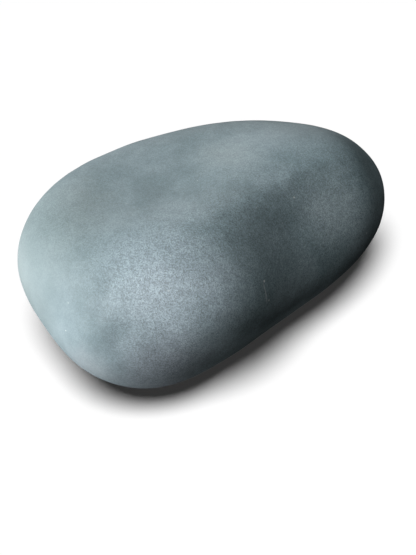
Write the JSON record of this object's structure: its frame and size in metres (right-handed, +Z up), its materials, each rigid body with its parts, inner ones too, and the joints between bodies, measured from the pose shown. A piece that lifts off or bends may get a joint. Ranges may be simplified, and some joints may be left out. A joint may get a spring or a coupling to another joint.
{
  "type": "massage stone",
  "caption": "Smooth palm-filling basalt pebble with a broad rounded end, a slimmer end and a shallow thumb hollow in one flank, for hot stone massage.",
  "frame": {"origin": "under the middle of the overall box, on the flat that the stone rests on", "axes": "+X along the length towards the slim end, +Y across towards the full flank with the thumb hollow on the -Y flank, +Z up"},
  "size_m": [0.1, 0.068, 0.045],
  "materials": {
    "basalt": "satin"
  },
  "bodies": {
    "root": {"stone": "basalt"}
  },
  "joints": []
}
